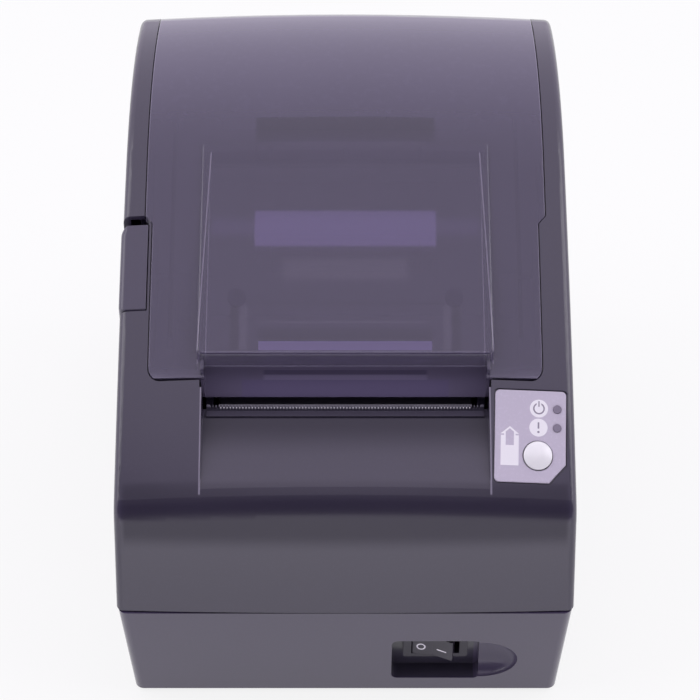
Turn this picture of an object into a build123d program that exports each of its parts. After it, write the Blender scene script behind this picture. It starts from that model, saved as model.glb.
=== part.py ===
from build123d import *
import os
from math import asin, atan2, cos, degrees, hypot, pi, radians, sin, sqrt, tan

# Desktop receipt printer with a hinged cover, in millimetres.
# X runs across the front from left to right, Y runs from the front to the back, Z is up.
# The origin is on the ground under the middle of the base.

# Overall size
body_width = 145.0
body_depth = 195.0
body_height = 149.0
foot_height = 2.0
seam_height = 43.0
seam_gap = 0.5

# Side view of the upper housing
front_lean = 23.0
bend_height = 76.5
bend_radius = 14.0
slope_bulge = 2.5
crest_back = 115.0
crest_drop = 11.0
rear_drop = 6.3
rear_radius = 15.0
side_draft = 0.35
crown_rise = 2.4
edge_radius = 2.5

# Walls and clearances
housing_wall = 2.5
cover_wall = 2.2
base_wall = 2.5
cover_gap = 0.35
part_gap = 0.3
running_gap = 0.05

# Cover outline, distances from the front edge
cover_front_back = 48.2
cover_half_front = 62.6
cover_half_rear = 65.0
cover_step_back = 95.0
cover_corner = 4.0
hinge_back = 180.0
hinge_drop = 18.9
hinge_pin_radius = 2.5
hinge_sweep = 16.9
cover_skirt_drop = 3.6

# Hood and paper exit
hood_half_width = 47.0
hood_corner = 2.4
hood_start_back = 118.0
lip_back = 52.3
lip_top_rise = 3.6
lip_height = 5.4
exit_half_width = 44.6
throat_wall = 1.8

# Ramp and tear bar
ramp_half_width = 45.3
ramp_foot_back = 19.5
ramp_top_back = 42.4
ramp_foot_drop = 0.1
ramp_top_drop = 12.36
shelf_depth = 3.8
tear_pitch = 1.0
tear_tooth = 1.4
tear_thickness = 0.6
tear_angle = 45.0

# Platen, measured from the cover's front edge at the slope
platen_back = 9.4
platen_drop = 14.8
platen_radius = 5.5
platen_half_length = 40.5
shaft_radius = 2.5
shaft_left = 52.5
shaft_right = 51.8
bushing_radius = 4.0
bushing_inner = 42.3
bushing_outer = 48.2
arm_thickness = 2.4

# Paper roll
roll_radius = 41.5
trough_clearance = 1.5
trough_wall = 2.0
trough_half_width = 42.0
roll_back = 135.0
roll_drop = 61.0

# Gear train
gear_module = 0.6
platen_teeth = 16
idler_teeth = 36
pinion_teeth = 12
gear_width = 2.8
gear_plane = 48.6
mesh_gap = 0.15
idler_angle = -68.0
motor_angle = -26.0
addendum = 0.85
dedendum = 1.2
backlash = 0.16

# Mechanism frame
frame_sheet = 1.2
frame_half_width = 46.0
frame_front_back = 41.0
frame_rear_back = 90.0
motor_floor_gap = 3.7
motor_radius = 12.4
motor_length = 22.0

# Print head
head_lean = 30.0
head_up = 5.0
head_down = 15.0
substrate_thickness = 1.0
sink_thickness = 6.0
head_pivot_radius = 1.5

# Open lever
lever_front_back = 68.5
lever_rear_back = 93.4
lever_travel_gap = 2.9
lever_inner = 63.6
lever_depth = 14.0
lever_pivot_back = 64.4
lever_pivot_drop = 10.6
lever_hub_radius = 4.5
lever_pin_radius = 2.0
lever_proud = 0.4

# Control panel on the slope
panel_edge = 14.5
panel_centre_back = 33.4
panel_width = 22.4
panel_length = 29.4
panel_thickness = 0.8
panel_corner = 1.5
panel_cut = 5.2
panel_groove = 0.4
button_x = 2.4
button_y = -6.1
button_radius = 4.5
button_travel = 0.9
lamp_x = 8.4
lamp_high = 8.9
lamp_low = 2.9
lamp_radius = 1.3
board_drop = 6.4

# Power switch in the base front
switch_x = 29.3
window_half_width = 14.3
window_low = 7.9
window_high = 27.9
window_depth = 7.5
bezel_width = 21.0
bezel_height = 12.8
switch_middle = 21.2
switch_body_width = 19.0
switch_body_height = 11.4
switch_body_depth = 14.0
rocker_width = 13.6
rocker_height = 8.8
rocker_tilt = 15.0
scoop_length = 12.2
scoop_half_height = 9.2
scoop_depth = 5.6

# Base
base_taper = 2.5
base_corner = 3.0
board_height = 9.0
board_thickness = 1.6
port_depth = 12.0
pillar_radius = 4.0
screw_radius = 1.4
foot_radius = 7.0

front = -body_depth / 2
rear = body_depth / 2
half_width = body_width / 2
base_floor = foot_height + base_wall


# Outer surface
def back(distance):
    """Y of a place measured from the front edge."""
    return front + distance


bend_y = front + (bend_height - seam_height) * tan(radians(front_lean))
crest_y = back(crest_back)
crest_z = body_height - crest_drop
slope_run = hypot(crest_y - bend_y, crest_z - bend_height)
slope_radius = (slope_run**2 / 4 + slope_bulge**2) / (2 * slope_bulge)
slope_reach = slope_radius - slope_bulge
slope_centre_y = (bend_y + crest_y) / 2 + slope_reach * (crest_z - bend_height) / slope_run
slope_centre_z = (bend_height + crest_z) / 2 - slope_reach * (crest_y - bend_y) / slope_run
crown_radius = half_width**2 / (2 * crown_rise)
crown_z = body_height - crown_radius
crown_axis = Axis((0, 0, crown_z), (0, 1, 0))
crown_half_angle = degrees(asin((half_width + 20) / crown_radius))
crest_normal = (
    (crest_y - slope_centre_y) / slope_radius,
    (crest_z - slope_centre_z) / slope_radius,
)
top_run = (rear - crest_y, body_height - rear_drop - crest_z)
top_radius = -(top_run[0] ** 2 + top_run[1] ** 2) / (
    2 * (top_run[0] * crest_normal[0] + top_run[1] * crest_normal[1])
)
top_centre_y = crest_y - top_radius * crest_normal[0]
top_centre_z = crest_z - top_radius * crest_normal[1]


def slope_height(y, inset=0.0):
    """Height of the slope on the middle line."""
    return slope_centre_z + sqrt((slope_radius - inset) ** 2 - (y - slope_centre_y) ** 2)


def top_height(y, inset=0.0):
    """Height of the top behind the crest on the middle line."""
    return top_centre_z + sqrt((top_radius - inset) ** 2 - (y - top_centre_y) ** 2)


def slope_plane(x, y):
    """Plane that touches the crowned slope, with its Y axis up the slope."""
    height = slope_height(y) - crown_z
    turn = asin(x / height)
    lean = asin((slope_centre_y - y) / slope_radius)
    origin = (height * sin(turn), y, crown_z + height * cos(turn))
    normal = (cos(lean) * sin(turn), -sin(lean), cos(lean) * cos(turn))
    return Plane(origin=origin, x_dir=(cos(turn), 0, -sin(turn)), z_dir=normal)


def bend_corner(inset):
    """Where the front face meets the slope, both shrunk by the inset."""
    lean = radians(front_lean)
    start_y = bend_y + inset * cos(lean) - slope_centre_y
    start_z = bend_height - inset * sin(lean) - slope_centre_z
    along = start_y * sin(lean) + start_z * cos(lean)
    reach = (slope_radius - inset) ** 2 - start_y**2 - start_z**2
    step = -along + sqrt(along**2 + reach)
    return (slope_centre_y + start_y + step * sin(lean), slope_centre_z + start_z + step * cos(lean))


def side_outline(inset):
    """Side view of the housing in its middle plane, shrunk by the inset."""
    below = seam_height - 20
    bend = bend_corner(inset)
    toe = (bend[0] - (bend[1] - below) * tan(radians(front_lean)), below)
    crest = (crest_y - inset * crest_normal[0], crest_z - inset * crest_normal[1])
    slope_middle = (bend[0] + crest[0]) / 2
    back_y = rear - inset
    top_middle = (crest[0] + back_y) / 2
    back_top = (back_y, top_height(back_y, inset))
    with BuildSketch(mode=Mode.PRIVATE) as outline:
        with BuildLine():
            Polyline((back_y, below), toe, bend)
            ThreePointArc(bend, (slope_middle, slope_height(slope_middle, inset)), crest)
            ThreePointArc(crest, (top_middle, top_height(top_middle, inset)), back_top)
            Line(back_top, (back_y, below))
        make_face()
        fillet(outline.vertices().sort_by_distance(bend)[0], max(bend_radius - inset, 1))
        fillet(outline.vertices().sort_by_distance(back_top)[0], max(rear_radius - inset, 1))
    return outline.sketch


def body_form(inset, low=seam_height, edge=None, widen=0.0):
    """Crowned body, shrunk by the inset, from the low height up."""
    radius = max(edge_radius - inset, 0) if edge is None else edge
    start = radians(-crown_half_angle)
    plane = Plane(origin=(0, 0, crown_z), x_dir=(0, 1, 0), z_dir=(cos(start), 0, -sin(start)))
    top = body_height + 10
    low_half = half_width - inset + widen
    top_half = low_half - (top - low) * tan(radians(side_draft))
    with BuildPart(mode=Mode.PRIVATE) as form:
        with BuildSketch(plane):
            with Locations((0, -crown_z)):
                add(side_outline(inset))
        revolve(axis=crown_axis, revolution_arc=2 * crown_half_angle)
        with BuildSketch(Plane.XZ.offset(-body_depth)):
            with BuildLine():
                Polyline((-low_half, low), (low_half, low), (top_half, top), (-top_half, top), close=True)
            make_face()
        extrude(amount=2 * body_depth, mode=Mode.INTERSECT)
        if radius > 0.3:
            sides = form.faces().filter_by(lambda face: abs(face.center().X) > half_width - 8)
            rims = sides.edges().filter_by(lambda edge: edge.center().Z > low + 0.5)
            fillet(rims, radius)
    return form.part


def inner_form(inset):
    """Body without the crown, shrunk by the inset and wider than the printer."""
    with BuildPart(mode=Mode.PRIVATE) as form:
        with BuildSketch(Plane.YZ.offset(-body_width)):
            add(side_outline(inset))
        extrude(amount=2 * body_width)
    return form.part


def side_prism(points, x_low, x_high, mode=Mode.ADD):
    """Prism across X over an outline given in the side view."""
    with BuildSketch(Plane.YZ.offset(x_low)) as outline:
        with BuildLine():
            Polyline(*points, close=True)
        make_face()
    return extrude(outline.sketch, amount=x_high - x_low, mode=mode)


def both_sides(points, x_inner, x_outer, mode=Mode.ADD):
    """The same side-view prism on the left and on the right."""
    side_prism(points, x_inner, x_outer, mode)
    side_prism(points, -x_outer, -x_inner, mode)


def rod(y, z, radius, x_low, x_high, mode=Mode.ADD):
    """Round bar across X."""
    with BuildSketch(Plane.YZ.offset(x_low)) as section:
        with Locations((y, z)):
            Circle(radius)
    return extrude(section.sketch, amount=x_high - x_low, mode=mode)


def sheet_strip(points, thickness, x_low, x_high):
    """Bent strip of sheet across X that follows the points in the side view."""
    for start, end in zip(points, points[1:]):
        run = 2 * hypot(end[0] - start[0], end[1] - start[1]) / thickness
        side_y = (start[1] - end[1]) / run
        side_z = (end[0] - start[0]) / run
        side_prism(
            [
                (start[0] + side_y, start[1] + side_z),
                (end[0] + side_y, end[1] + side_z),
                (end[0] - side_y, end[1] - side_z),
                (start[0] - side_y, start[1] - side_z),
            ],
            x_low,
            x_high,
        )
    for y, z in points[1:-1]:
        rod(y, z, thickness / 2, x_low, x_high)


def cover_outline(grow):
    """Plan view of the cover, grown by a clearance or shrunk by a negative one."""
    step = back(cover_step_back)
    low = back(cover_front_back) - grow
    narrow = cover_half_front + grow
    wide = cover_half_rear + grow
    end = rear + 10
    with BuildSketch(mode=Mode.PRIVATE) as outline:
        with BuildLine():
            Polyline(
                (-narrow, low),
                (narrow, low),
                (narrow, step - 1.0),
                (wide, step + 1.5),
                (wide, end),
                (-wide, end),
                (-wide, step + 1.5),
                (-narrow, step - 1.0),
                close=True,
            )
        make_face()
        fillet(outline.vertices().group_by(Axis.Y)[0], cover_corner + grow)
    return outline.sketch


# The places that the mechanism is measured from
exit_y = back(cover_front_back)
exit_z = slope_height(exit_y)
platen_y = exit_y + platen_back
platen_z = exit_z - platen_drop
hinge_y = back(hinge_back)
hinge_z = body_height - hinge_drop
roll_y = back(roll_back)
roll_z = body_height - roll_drop
trough_radius = roll_radius + trough_clearance
lever_y = back(lever_pivot_back)
lever_z = platen_z - lever_pivot_drop
swing = hypot(platen_y - hinge_y, platen_z - hinge_z)
rise_y = (platen_z - hinge_z) / swing
rise_z = (hinge_y - platen_y) / swing


def head_point(along, depth):
    """Place on the print head: along its face from the contact line, and behind its face."""
    lean = radians(head_lean)
    contact_y = platen_y - (platen_radius + part_gap) * cos(lean)
    contact_z = platen_z - (platen_radius + part_gap) * sin(lean)
    return (
        contact_y - along * sin(lean) - depth * cos(lean),
        contact_z + along * cos(lean) - depth * sin(lean),
    )


head_pivot_y, head_pivot_z = head_point(-head_down + 3, sink_thickness / 2 + substrate_thickness)


def polar_place(y, z, distance, angle):
    """Place at a distance and an angle in the side view."""
    return (y + distance * cos(radians(angle)), z + distance * sin(radians(angle)))


def centre_distance(teeth_a, teeth_b):
    """Distance between the shafts of two meshed gears."""
    return gear_module * (teeth_a + teeth_b) / 2 + mesh_gap


idler_y, idler_z = polar_place(platen_y, platen_z, centre_distance(platen_teeth, idler_teeth), idler_angle)
motor_y, motor_z = polar_place(idler_y, idler_z, centre_distance(idler_teeth, pinion_teeth), motor_angle)


def gear_outline(teeth, first_tooth):
    """Closed outline of an involute gear with a tooth centred on the first angle."""
    pitch_radius = gear_module * teeth / 2
    base_radius = pitch_radius * cos(radians(20))
    root_radius = pitch_radius - dedendum * gear_module
    tip_radius = pitch_radius + addendum * gear_module
    involute = tan(radians(20)) - radians(20)
    half_tooth = pi / (2 * teeth) * (1 - backlash) + involute

    def flank(radius):
        if radius <= base_radius:
            return half_tooth
        pressure = sqrt((radius / base_radius) ** 2 - 1)
        return half_tooth - (pressure - atan2(pressure, 1))

    radii = [root_radius, max(root_radius + 0.05, base_radius), pitch_radius, tip_radius]
    points = []
    for tooth in range(teeth):
        middle = radians(first_tooth) + 2 * pi * tooth / teeth
        rising = [(radius, middle - flank(radius)) for radius in radii]
        falling = [(radius, middle + flank(radius)) for radius in reversed(radii)]
        points += [(radius * cos(turn), radius * sin(turn)) for radius, turn in rising + falling]
    return points


def gear(teeth, first_tooth, y, z, bore):
    """Spur gear across X with a bore."""
    with BuildSketch(Plane.YZ.offset(gear_plane)) as section:
        with Locations((y, z)):
            with BuildLine(mode=Mode.PRIVATE) as rim:
                Polyline(*gear_outline(teeth, first_tooth), close=True)
            add(make_face(rim.edges(), mode=Mode.PRIVATE))
            Circle(bore, mode=Mode.SUBTRACT)
    extrude(section.sketch, amount=gear_width)


# Teeth are turned so that each pair is in mesh at rest
platen_first = idler_angle
idler_first = idler_angle + 180 + 180 / idler_teeth
idler_offset = (motor_angle - idler_first) % (360 / idler_teeth)
pinion_first = motor_angle + 180 + idler_offset * idler_teeth / pinion_teeth + 180 / pinion_teeth

outer_form = body_form(0)
wall_form = body_form(housing_wall, seam_height - 5)
skin_form = body_form(cover_wall, seam_height - 5)
near_form = body_form(0.8, seam_height - 5)

lever_clear_rear = lever_rear_back + lever_travel_gap


def slope_band(distance_low, distance_high, above, below):
    """Side-view outline of a band that follows the slope between two distances."""
    low_y = back(distance_low)
    high_y = back(distance_high)
    middle_y = (low_y + high_y) / 2
    tops = [(y, slope_height(y) + above) for y in (high_y, middle_y, low_y)]
    return [(low_y, slope_height(low_y) - below), (high_y, slope_height(high_y) - below)] + tops


# Base tray: a tapered tub with pillars, the switch pocket and the port opening
base_top = seam_height - seam_gap
tray_half_x = half_width - 0.5
tray_half_y = body_depth / 2 - 0.3
frame_pillars = [
    (x, back(distance)) for x in (-38, 38) for distance in (frame_front_back + 6, frame_rear_back - 6)
]
trough_pillars = [(x, roll_y + shift) for x in (-30, 30) for shift in (-17, 17)]
corner_posts = [(x, y) for x in (-half_width + 9, half_width - 9) for y in (front + 20, rear - 12)]
trough_leg_low = foot_height + 26
post_seat = foot_height + 8
frame_floor = motor_z - motor_radius - motor_floor_gap
scoop_form = scale(Sphere(1), by=(scoop_length, scoop_depth, scoop_half_height))
with BuildPart() as base_tray:
    for inset, low in ((0, foot_height), (base_wall, base_floor)):
        with BuildSketch(Plane.XY.offset(low)):
            shrink = 2 * (base_taper + inset)
            RectangleRounded(2 * tray_half_x - shrink, 2 * tray_half_y - shrink, base_corner)
        with BuildSketch(Plane.XY.offset(base_top + 2 * inset)):
            RectangleRounded(2 * (tray_half_x - inset), 2 * (tray_half_y - inset), base_corner)
        loft(mode=Mode.ADD if inset == 0 else Mode.SUBTRACT)
    pocket_left = switch_x - window_half_width - base_wall
    pocket_right = switch_x + window_half_width + scoop_length + 1.5
    pocket_back = front + window_depth + base_wall + 1.5
    with BuildSketch(Plane.XY.offset(base_floor)):
        with BuildLine():
            Polyline(
                (pocket_left, front + 3.2),
                (pocket_right, front + 3.2),
                (pocket_right, pocket_back),
                (pocket_left, pocket_back),
                close=True,
            )
        make_face()
    extrude(amount=window_high + base_wall - base_floor)
    window_middle = (window_low + window_high) / 2
    with BuildSketch(Plane.XZ.offset(-front - window_depth - 1.2)):
        with Locations((switch_x, window_middle)):
            RectangleRounded(2 * window_half_width, window_high - window_low, 2.0)
    extrude(amount=30, mode=Mode.SUBTRACT)
    with Locations((switch_x + window_half_width, front + 1.9, window_middle)):
        add(scoop_form, mode=Mode.SUBTRACT)
    with Locations((switch_x, front + window_depth, switch_middle)):
        Box(switch_body_width + 0.2, 40, switch_body_height + 0.2, mode=Mode.SUBTRACT)
    for x, y in frame_pillars:
        with BuildSketch(Plane.XY.offset(base_floor)):
            with Locations((x, y)):
                Circle(pillar_radius)
                Circle(screw_radius, mode=Mode.SUBTRACT)
        extrude(amount=frame_floor - base_floor)
    for x, y in trough_pillars:
        with BuildSketch(Plane.XY.offset(base_floor)):
            with Locations((x, y)):
                Circle(pillar_radius)
        extrude(amount=trough_leg_low - base_floor)
    for x, y in corner_posts:
        with BuildSketch(Plane.XY.offset(foot_height)):
            with Locations((x, y)):
                Circle(pillar_radius + 1)
        extrude(amount=post_seat - foot_height)
        with Locations((x, y, post_seat - 2)):
            Cylinder(3.2, 20, align=(Align.CENTER, Align.CENTER, Align.MAX), mode=Mode.SUBTRACT)
            Cylinder(screw_radius + part_gap, 10, mode=Mode.SUBTRACT)
    port_opening = (104.0, 19.0)
    port_middle = board_height + board_thickness + 8.0
    with BuildSketch(Plane.XZ.offset(-rear - 5)):
        with Locations((0, port_middle)):
            RectangleRounded(*port_opening, 1.5)
    extrude(amount=15, mode=Mode.SUBTRACT)
    foot_places = [(x, y) for x in (-52, 52) for y in (front + 18, rear - 22)]
    for x, y in foot_places:
        with BuildSketch(Plane.XY.offset(foot_height)):
            with Locations((x, y)):
                Circle(foot_radius + 0.1)
        extrude(amount=0.8, mode=Mode.SUBTRACT)
base_tray.part.label = "base_tray"


# Rubber feet and the screws that hold the two housings together
with BuildPart() as rubber_feet:
    for x, y in foot_places:
        with BuildSketch():
            with Locations((x, y)):
                Circle(foot_radius)
        extrude(amount=foot_height + 0.8)
    chamfer(rubber_feet.edges().group_by(Axis.Z)[0], 0.6)
rubber_feet.part.label = "rubber_feet"

with BuildPart() as base_screws:
    for x, y in corner_posts:
        with Locations((x, y, post_seat - 2)):
            Cylinder(2.6, 2.0, align=(Align.CENTER, Align.CENTER, Align.MAX))
            Cylinder(screw_radius, 14, align=(Align.CENTER, Align.CENTER, Align.MIN))
        with Locations((x, y, post_seat - 4)):
            Box(3.0, 0.6, 1.6, mode=Mode.SUBTRACT)
            Box(0.6, 3.0, 1.6, mode=Mode.SUBTRACT)
base_screws.part.label = "base_screws"

# Upper housing: a crowned shell with the cover opening, ledge, ramp and lever notch
ledge_depth = cover_wall + 0.4
flange_depth = 13.0
opening_plan = cover_outline(0)
ledge_plan = cover_outline(1.6)
ledge_inner_plan = cover_outline(-2.2)
ramp_foot = (back(ramp_foot_back), slope_height(back(ramp_foot_back)) - ramp_foot_drop)
ramp_top = (back(ramp_top_back), exit_z - ramp_top_drop)
shelf_end = (ramp_top[0] + shelf_depth, ramp_top[1] + 0.5)
floor_drop = 2.1
notch_rear = lever_clear_rear + 0.2
notch_front = lever_front_back - 0.3



def ramp_space(drop):
    """Space above the ramp's floor, which is crowned at its foot and straight at its top."""
    foot_radius_of_crown = ramp_foot[1] - crown_z
    foot_fall = foot_radius_of_crown - sqrt(foot_radius_of_crown**2 - ramp_half_width**2)
    with BuildPart(mode=Mode.PRIVATE) as space:
        for (y, z), fall in ((ramp_foot, foot_fall), (ramp_top, 0.02)):
            side = z - drop - fall
            with BuildSketch(Plane.XZ.offset(-y)):
                with BuildLine():
                    ThreePointArc((-ramp_half_width, side), (0, z - drop), (ramp_half_width, side))
                    Polyline(
                        (ramp_half_width, side),
                        (ramp_half_width, body_height),
                        (-ramp_half_width, body_height),
                        (-ramp_half_width, side),
                    )
                make_face()
        loft(ruled=True)
    return space.part


with BuildPart(mode=Mode.PRIVATE) as opening:
    with BuildSketch(Plane.XY.offset(seam_height + 30)):
        add(opening_plan)
    extrude(amount=body_height)
    side_prism(
        [(hinge_y, seam_height), (rear + 20, seam_height), (rear + 20, hinge_z), (hinge_y, hinge_z)],
        -half_width,
        half_width,
        Mode.SUBTRACT,
    )

with BuildPart(mode=Mode.PRIVATE) as ledge:
    with BuildSketch(Plane.XY.offset(seam_height)):
        add(ledge_plan)
    extrude(amount=body_height)
    add(body_form(0.9, seam_height - 5, 0), mode=Mode.INTERSECT)
    with BuildSketch(Plane.XY.offset(seam_height)):
        add(opening_plan)
    extrude(amount=body_height, mode=Mode.SUBTRACT)
    add(inner_form(flange_depth), mode=Mode.SUBTRACT)
with BuildPart(mode=Mode.PRIVATE) as shelf:
    with BuildSketch(Plane.XY.offset(seam_height)):
        add(ledge_plan)
        add(ledge_inner_plan, mode=Mode.SUBTRACT)
    extrude(amount=body_height)
    add(body_form(ledge_depth, seam_height - 5, 0), mode=Mode.INTERSECT)
    add(body_form(ledge_depth + 1.6, seam_height - 5, 0), mode=Mode.SUBTRACT)

post_radius = 4.0
with BuildPart(mode=Mode.PRIVATE) as envelope:
    add(near_form)
    Box(
        2 * half_width - 12,
        body_depth - 14,
        seam_height,
        align=(Align.CENTER, Align.CENTER, Align.MIN),
    )
with BuildPart(mode=Mode.PRIVATE) as posts:
    for x, y in corner_posts:
        with BuildSketch(Plane.XY.offset(post_seat)):
            with Locations((x, y)):
                Circle(post_radius)
        extrude(amount=body_height if y < 0 else seam_height + 30)
    for x, y in corner_posts[1::2]:
        with BuildSketch(Plane.XY.offset(seam_height + 4)):
            with Locations((x, (y + rear) / 2), (x + (6 if x > 0 else -6), y)):
                Rectangle(2.0, 12.0)
        extrude(amount=seam_height - 17)
    add(envelope.part, mode=Mode.INTERSECT)

panel_plane = slope_plane(half_width - panel_edge, back(panel_centre_back))


def panel_shape(grow):
    """Outline of the control plate with its cut corner."""
    half_x = panel_width / 2 + grow
    half_y = panel_length / 2 + grow
    with BuildSketch(mode=Mode.PRIVATE) as shape:
        with BuildLine():
            Polyline(
                (-half_x, half_y),
                (-half_x, -half_y),
                (half_x - panel_cut, -half_y),
                (half_x, -half_y + panel_cut * 1.15),
                (half_x, half_y),
                close=True,
            )
        make_face()
        corners = shape.vertices().filter_by(lambda corner: corner.X < 0 or corner.Y > 0)
        fillet(corners, panel_corner)
    return shape.sketch


button_spot = (button_x, button_y)
lamp_spots = [(lamp_x, lamp_high), (lamp_x, lamp_low)]

with BuildPart(mode=Mode.PRIVATE) as ramp_floor:
    add(ramp_space(floor_drop))
    add(ramp_space(0), mode=Mode.SUBTRACT)
    side_prism(
        [
            (ramp_top[0] - 0.01, ramp_top[1] - floor_drop),
            (shelf_end[0], shelf_end[1] - floor_drop + 0.4),
            shelf_end,
            (ramp_top[0] - 0.01, ramp_top[1] - 0.02),
        ],
        -ramp_half_width,
        ramp_half_width,
    )
with BuildPart(mode=Mode.PRIVATE) as ramp_walls:
    both_sides(
        [
            (ramp_foot[0] - 1.5, ramp_foot[1] - floor_drop - 1.5),
            (ramp_top[0], ramp_top[1] - floor_drop),
            (exit_y, shelf_end[1] - floor_drop + 0.4),
            (exit_y, body_height),
            (ramp_foot[0] - 1.5, body_height),
        ],
        ramp_half_width,
        ramp_half_width + 1.8,
    )
    add(near_form, mode=Mode.INTERSECT)

with BuildPart() as upper_housing:
    add(outer_form)
    add(wall_form, mode=Mode.SUBTRACT)
    add(posts.part)
    add(opening.part, mode=Mode.SUBTRACT)
    add(ledge.part)
    add(shelf.part)
    # Rear opening for the cover's sweep round its hinge
    rod(hinge_y, hinge_z, hinge_sweep, -cover_half_rear, cover_half_rear, Mode.SUBTRACT)
    # Recess of the ramp and the throat behind the tear bar
    add(ramp_space(0), mode=Mode.SUBTRACT)
    side_prism(
        [ramp_top, shelf_end, (exit_y, shelf_end[1]), (exit_y, body_height), (ramp_top[0], body_height)],
        -ramp_half_width,
        ramp_half_width,
        Mode.SUBTRACT,
    )
    side_prism(
        [
            (exit_y, ramp_foot[1]),
            (shelf_end[0] + 8, ramp_foot[1]),
            (shelf_end[0] + 8, body_height),
            (exit_y, body_height),
        ],
        -bushing_outer - part_gap,
        gear_plane + gear_width + part_gap,
        Mode.SUBTRACT,
    )
    add(ramp_floor.part)
    add(ramp_walls.part)
    side_prism(
        [
            (shelf_end[0], ramp_foot[1]),
            (exit_y, ramp_foot[1]),
            (exit_y, body_height),
            (shelf_end[0], body_height),
        ],
        -frame_half_width,
        frame_half_width,
        Mode.SUBTRACT,
    )
    # Notch for the open lever in the left rail
    side_prism(
        slope_band(notch_front, notch_rear, 6, lever_depth + 5.4),
        -half_width - 2,
        -lever_inner + 0.3,
        Mode.SUBTRACT,
    )
    side_prism(
        slope_band(notch_front - 2, notch_rear + 2, -ledge_depth - 1, lever_depth + 14),
        -half_width + housing_wall + 0.5,
        -lever_inner + 0.3,
        Mode.SUBTRACT,
    )
    # Bosses for the hinge pins
    for inner, outer in ((cover_half_rear + 0.3, half_width - 1.5), (-half_width + 1.5, -cover_half_rear - 0.3)):
        rod(hinge_y, hinge_z, hinge_pin_radius + 3, inner, outer)
    rod(
        hinge_y,
        hinge_z,
        hinge_pin_radius + running_gap,
        -half_width + 3,
        half_width - 3,
        Mode.SUBTRACT,
    )
    # Seat of the control plate, its button and its lamps
    with BuildSketch(panel_plane.offset(2)):
        add(panel_shape(panel_groove))
    extrude(amount=-2 - panel_thickness, mode=Mode.SUBTRACT)
    with BuildSketch(panel_plane.offset(1)):
        with Locations(button_spot):
            Circle(button_radius + part_gap)
        with Locations(*lamp_spots):
            Circle(lamp_radius + part_gap)
    extrude(amount=-8, mode=Mode.SUBTRACT)
    with BuildSketch(panel_plane.offset(-board_drop)):
        with Locations((-7, 8.5), (-7, -11), (7.2, -11.2)):
            Circle(1.2)
    extrude(amount=board_drop - panel_thickness - 0.4)
    for x, y in corner_posts:
        with BuildSketch(Plane.XY.offset(post_seat - 1)):
            with Locations((x, y)):
                Circle(screw_radius + running_gap)
        extrude(amount=14, mode=Mode.SUBTRACT)
upper_housing.part.label = "upper_housing"

# Cover: a smoky shell with a hood over the paper exit, screw bosses and hinge ears
lip_y = back(lip_back)
lip_top = slope_height(lip_y) + lip_top_rise
lip_low = lip_top - lip_height
hood_y = back(hood_start_back)
hood_tail = (hood_y, top_height(hood_y) - 0.05)
hood_rise = (hood_tail[1] - lip_top) / (hood_y - lip_y)
throat_foot = (exit_y + 2.0, exit_z - 10.4)
throat_lean = radians(53.0)
throat_height = 26.0
throat_head = (
    throat_foot[0] + throat_height * cos(throat_lean),
    throat_foot[1] + throat_height * sin(throat_lean),
)
throat_shift = (throat_wall * sin(throat_lean), -throat_wall * cos(throat_lean))
throat_back = [(place[0] + throat_shift[0], place[1] + throat_shift[1]) for place in (throat_foot, throat_head)]
front_undercut = tan(radians(22.0))
cover_bosses = [(x, back(71.0)) for x in (-34.6, 34.6)]
guide_depth = 10.5
guide_sheet = 2.0
cover_plan = cover_outline(-cover_gap)


def hood_line(y, drop=0.0):
    """Height of the hood's top at a place between its lip and its tail."""
    return lip_top + (y - lip_y) * hood_rise - drop


with BuildPart(mode=Mode.PRIVATE) as cover_bosses_form:
    for x, y in cover_bosses:
        with BuildSketch(Plane.XY.offset(seam_height + 30)):
            with Locations((x, y)):
                Circle(3.0)
        extrude(amount=body_height)
    side_prism(
        [
            (back(60), hood_line(back(60), cover_wall / 2)),
            (back(90), hood_line(back(90), cover_wall / 2)),
            (back(90), seam_height),
            (back(60), seam_height),
        ],
        -60,
        60,
        Mode.INTERSECT,
    )
    add(inner_form(guide_depth), mode=Mode.SUBTRACT)

with BuildPart(mode=Mode.PRIVATE) as cover_ribs:
    both_sides(
        [
            (back(62), seam_height + 20),
            (back(165), seam_height + 20),
            (back(165), body_height),
            (back(62), body_height),
        ],
        55.2,
        56.6,
    )
    add(near_form, mode=Mode.INTERSECT)
    add(inner_form(guide_depth - 2.5), mode=Mode.SUBTRACT)

with BuildPart(mode=Mode.PRIVATE) as under_hood:
    side_prism(
        [
            (exit_y - 2, seam_height + 20),
            (hood_y, seam_height + 20),
            (hood_y, hood_line(hood_y, cover_wall / 2)),
            (lip_y, hood_line(lip_y, cover_wall / 2)),
            (exit_y - 2, slope_height(exit_y - 2) - 0.5),
        ],
        -60,
        60,
    )

with BuildPart(mode=Mode.PRIVATE) as throat:
    side_prism([throat_foot, throat_back[0], throat_back[1], throat_head], -exit_half_width, exit_half_width)
    both_sides(
        [
            (exit_y + 1.2, exit_z + 2.0),
            (exit_y + 1.4, throat_foot[1] + 2.5),
            throat_foot,
            throat_back[0],
            throat_back[1],
            throat_head,
        ],
        exit_half_width,
        frame_half_width - part_gap,
    )
    add(under_hood.part, mode=Mode.INTERSECT)

with BuildPart(mode=Mode.PRIVATE) as hood:
    side_prism(
        [
            hood_tail,
            (lip_y, lip_top),
            (lip_y, lip_low),
            (lip_y + 4, lip_low - 1.0),
            (hood_y, hood_tail[1] - 8),
        ],
        -hood_half_width,
        hood_half_width,
    )
    fillet(hood.edges().filter_by(Axis.Z).group_by(Axis.Y)[0], hood_corner)
    hood_rims = hood.edges().filter_by(
        lambda edge: abs(edge.center().Z - hood_line(edge.center().Y)) < 0.02
        and edge.center().Y < hood_y - 0.1
    )
    fillet(hood_rims, 1.0)

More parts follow.
